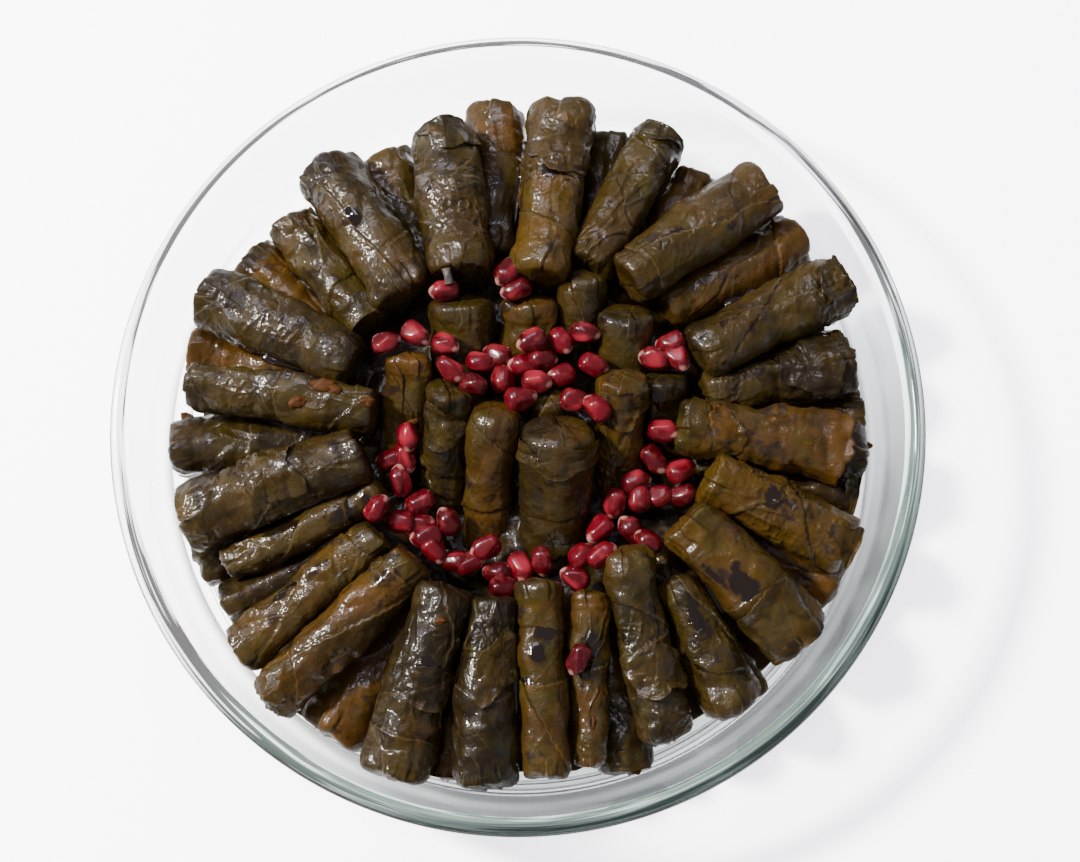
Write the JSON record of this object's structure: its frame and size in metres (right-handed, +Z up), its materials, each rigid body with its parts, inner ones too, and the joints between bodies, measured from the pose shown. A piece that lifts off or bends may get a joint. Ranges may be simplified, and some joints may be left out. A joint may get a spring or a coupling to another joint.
{
  "type": "filled serving dish",
  "caption": "Round clear glass dish packed with stuffed vine-leaf rolls in two rings round a leaning middle group, with pomegranate seeds scattered between them.",
  "frame": {"origin": "centre of the dish's underside, on the table plane", "axes": "+Z up through the dish, -Y towards the picture's lower edge, +X to the picture's right"},
  "size_m": [0.3, 0.3, 0.0603],
  "materials": {
    "glass": "clear pressed glass, faint green in the thick rim",
    "leaf_olive": "cooked vine leaf, oiled and glossy, veined",
    "leaf_dark": "dark cooked vine leaf, wet with syrup",
    "leaf_golden": "golden-brown cooked vine leaf, oiled",
    "aril": "deep red, glassy, slightly see-through"
  },
  "bodies": {
    "root": {"glass_dish": "glass", "upper_roll_01": "leaf_olive", "upper_roll_02": "leaf_dark", "upper_roll_03": "leaf_dark", "upper_roll_04": "leaf_olive", "upper_roll_05": "leaf_dark", "upper_roll_06": "leaf_olive", "upper_roll_07": "leaf_olive", "upper_roll_08": "leaf_dark", "upper_roll_09": "leaf_olive", "upper_roll_10": "leaf_golden", "upper_roll_11": "leaf_olive", "upper_roll_12": "leaf_dark", "upper_roll_13": "leaf_golden", "upper_roll_14": "leaf_golden", "upper_roll_15": "leaf_olive", "upper_roll_16": "leaf_olive", "upper_roll_17": "leaf_olive", "upper_roll_18": "leaf_olive", "upper_roll_19": "leaf_golden", "upper_roll_20": "leaf_dark", "upper_roll_21": "leaf_dark", "upper_roll_22": "leaf_golden", "upper_roll_23": "leaf_dark", "upper_roll_24": "leaf_dark", "lower_roll_01": "leaf_dark", "lower_roll_02": "leaf_golden", "lower_roll_03": "leaf_dark", "lower_roll_04": "leaf_golden", "lower_roll_05": "leaf_golden", "lower_roll_06": "leaf_dark", "lower_roll_07": "leaf_dark", "lower_roll_08": "leaf_dark", "lower_roll_09": "leaf_golden", "lower_roll_10": "leaf_golden", "lower_roll_11": "leaf_dark", "lower_roll_12": "leaf_olive", "lower_roll_13": "leaf_golden", "lower_roll_14": "leaf_dark", "lower_roll_15": "leaf_golden", "lower_roll_16": "leaf_golden", "middle_roll_01": "leaf_olive", "middle_roll_02": "leaf_golden", "middle_roll_03": "leaf_dark", "middle_roll_04": "leaf_olive", "middle_roll_05": "leaf_golden", "middle_roll_06": "leaf_olive", "middle_roll_07": "leaf_golden", "middle_roll_08": "leaf_olive", "middle_roll_09": "leaf_dark", "middle_roll_10": "leaf_golden", "middle_roll_11": "leaf_dark", "seeds_back": "aril", "seeds_right": "aril", "seeds_front": "aril", "seeds_left": "aril", "seed_single_back": "aril", "seeds_pair_back": "aril", "seeds_trio_right": "aril", "seed_single_front": "aril"}
  },
  "joints": []
}
